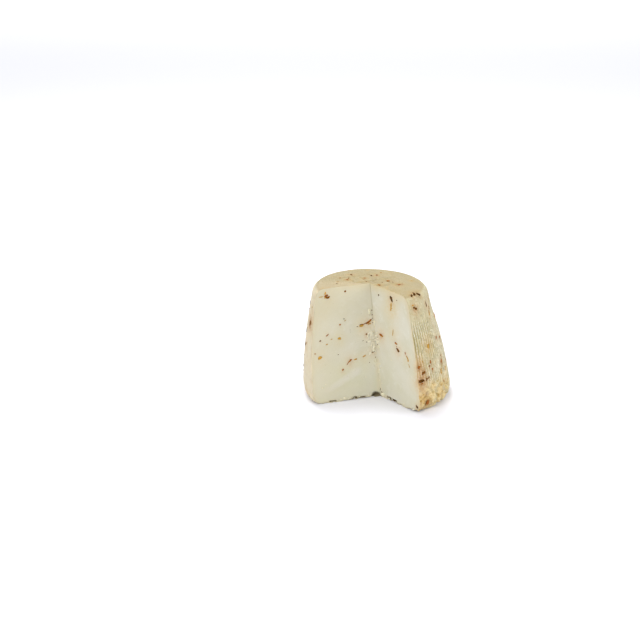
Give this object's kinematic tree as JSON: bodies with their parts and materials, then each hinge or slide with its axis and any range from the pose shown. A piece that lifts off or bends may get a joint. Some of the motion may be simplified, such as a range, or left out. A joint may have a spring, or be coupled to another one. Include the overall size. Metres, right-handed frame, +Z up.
{
  "type": "spicy sheep cheese",
  "caption": "Piece of spicy sheep cheese from a tapered basket-moulded wheel, two cuts open its front, ribbed rind, chilli flakes.",
  "frame": {"origin": "middle of the outer box, on the surface that the cheese stands on", "axes": "+Z up from the wide foot to the narrow cap, -Y towards the two cuts, +X to the right of someone who faces them"},
  "size_m": [0.1646, 0.1496, 0.126],
  "materials": {
    "cheese": "creamy white cut cheese, satin and slightly moist, with an olive-beige ribbed rind",
    "chilli_flake": "dried chilli flakes, dark red-brown to orange, slightly oily"
  },
  "bodies": {
    "root": {"cheese": "cheese"}
  },
  "joints": []
}
